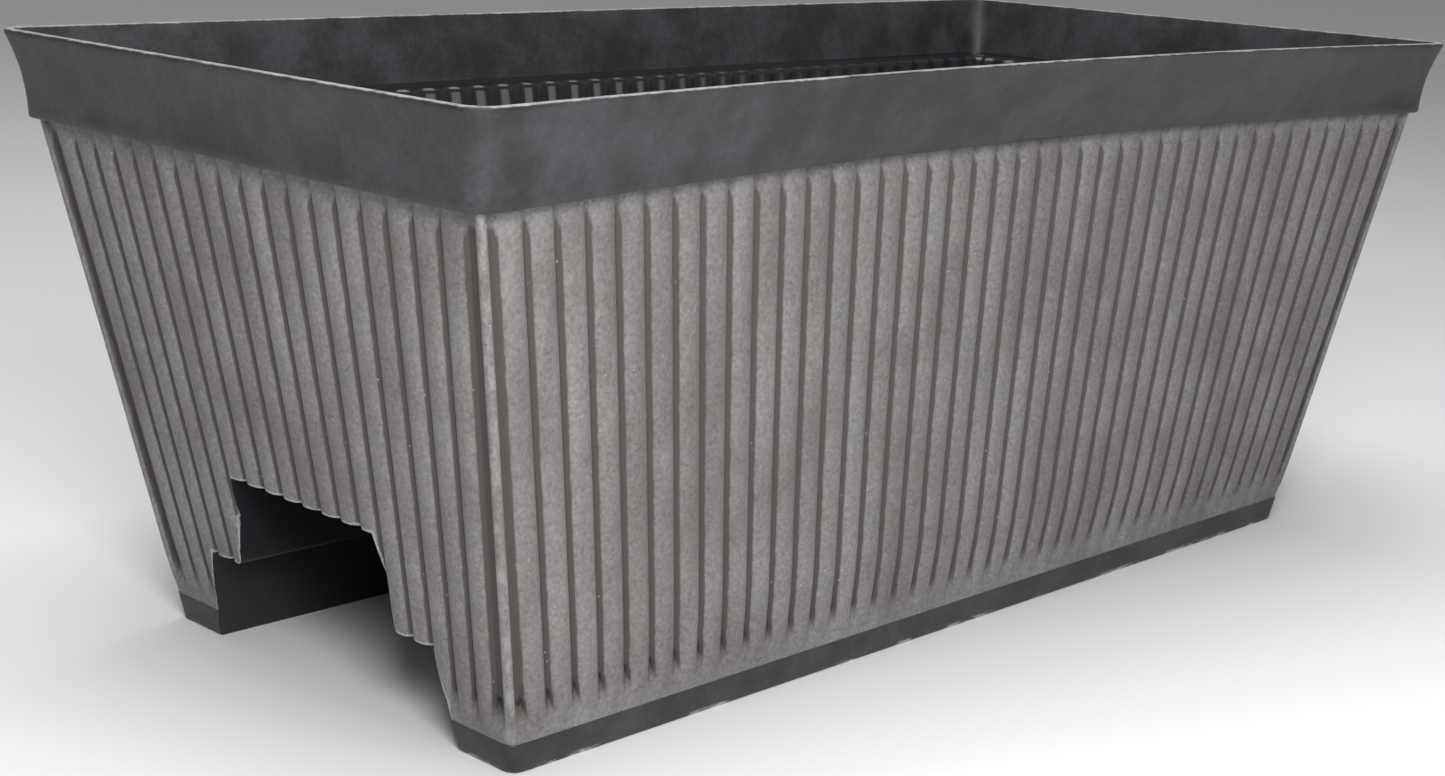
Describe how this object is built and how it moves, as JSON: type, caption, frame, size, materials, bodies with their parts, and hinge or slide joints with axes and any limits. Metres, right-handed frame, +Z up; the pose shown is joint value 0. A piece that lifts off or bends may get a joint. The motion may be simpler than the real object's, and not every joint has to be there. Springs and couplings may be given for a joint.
{
  "type": "self watering planter",
  "caption": "Reeded plastic self-watering planter with a flared rim that straddles a deck rail, with lift-out soil decks, a capped fill tube, a float gauge and drain plugs.",
  "frame": {"origin": "middle of the footprint, on the plane the feet stand on", "axes": "+X along the trough towards the drain plugs, +Y across it, +Z up"},
  "size_m": [0.61, 0.294, 0.241],
  "materials": {
    "shell": "painted resin, warm grey reeds, charcoal rim and base band",
    "black_plastic": "satin black",
    "fill_plastic": "satin charcoal",
    "float_plastic": "satin off-white",
    "flag_plastic": "gloss red",
    "clear_plastic": "clear",
    "plug_rubber": "matte",
    "pin_steel": "brushed"
  },
  "bodies": {
    "root": {"planter_shell": "shell"},
    "front_deck": {"soil_deck_front": "black_plastic", "wick_cup_front_left": "black_plastic", "wick_cup_front_right": "black_plastic"},
    "rear_deck": {"soil_deck_rear": "black_plastic", "wick_cup_rear_left": "black_plastic", "wick_cup_rear_right": "black_plastic", "gauge_tube": "fill_plastic", "gauge_window": "clear_plastic"},
    "fill_pipe": {"fill_tube": "fill_plastic", "fill_strainer": "fill_plastic", "fill_cap_pin": "pin_steel"},
    "fill_flap": {"fill_cap": "fill_plastic"},
    "level_float": {"gauge_float": "float_plastic", "gauge_stem": "float_plastic", "gauge_flag": "flag_plastic"},
    "front_drain": {"drain_plug_front": "plug_rubber", "drain_seal_front": "plug_rubber"},
    "rear_drain": {"drain_plug_rear": "plug_rubber", "drain_seal_rear": "plug_rubber"}
  },
  "joints": [
    {"name": "front_deck_lift", "type": "slide", "parent": "root", "child": "front_deck", "axis": [0, 0, 1], "range_m": [0, 0.2]},
    {"name": "rear_deck_lift", "type": "slide", "parent": "root", "child": "rear_deck", "axis": [0, 0, 1], "range_m": [0, 0.2]},
    {"name": "fill_tube_lift", "type": "slide", "parent": "front_deck", "child": "fill_pipe", "axis": [0, 0, 1], "range_m": [0, 0.18]},
    {"name": "fill_cap_hinge", "type": "hinge", "parent": "fill_pipe", "child": "fill_flap", "pos_m": [0.246, -0.09035, 0.1792], "axis": [0, 1, 0], "range_deg": [0, 110]},
    {"name": "float_rise", "type": "slide", "parent": "rear_deck", "child": "level_float", "axis": [0, 0, 1], "range_m": [0, 0.028]},
    {"name": "front_drain_pull", "type": "slide", "parent": "root", "child": "front_drain", "axis": [1, 0, 0], "range_m": [0, 0.02]},
    {"name": "rear_drain_pull", "type": "slide", "parent": "root", "child": "rear_drain", "axis": [1, 0, 0], "range_m": [0, 0.02]}
  ]
}
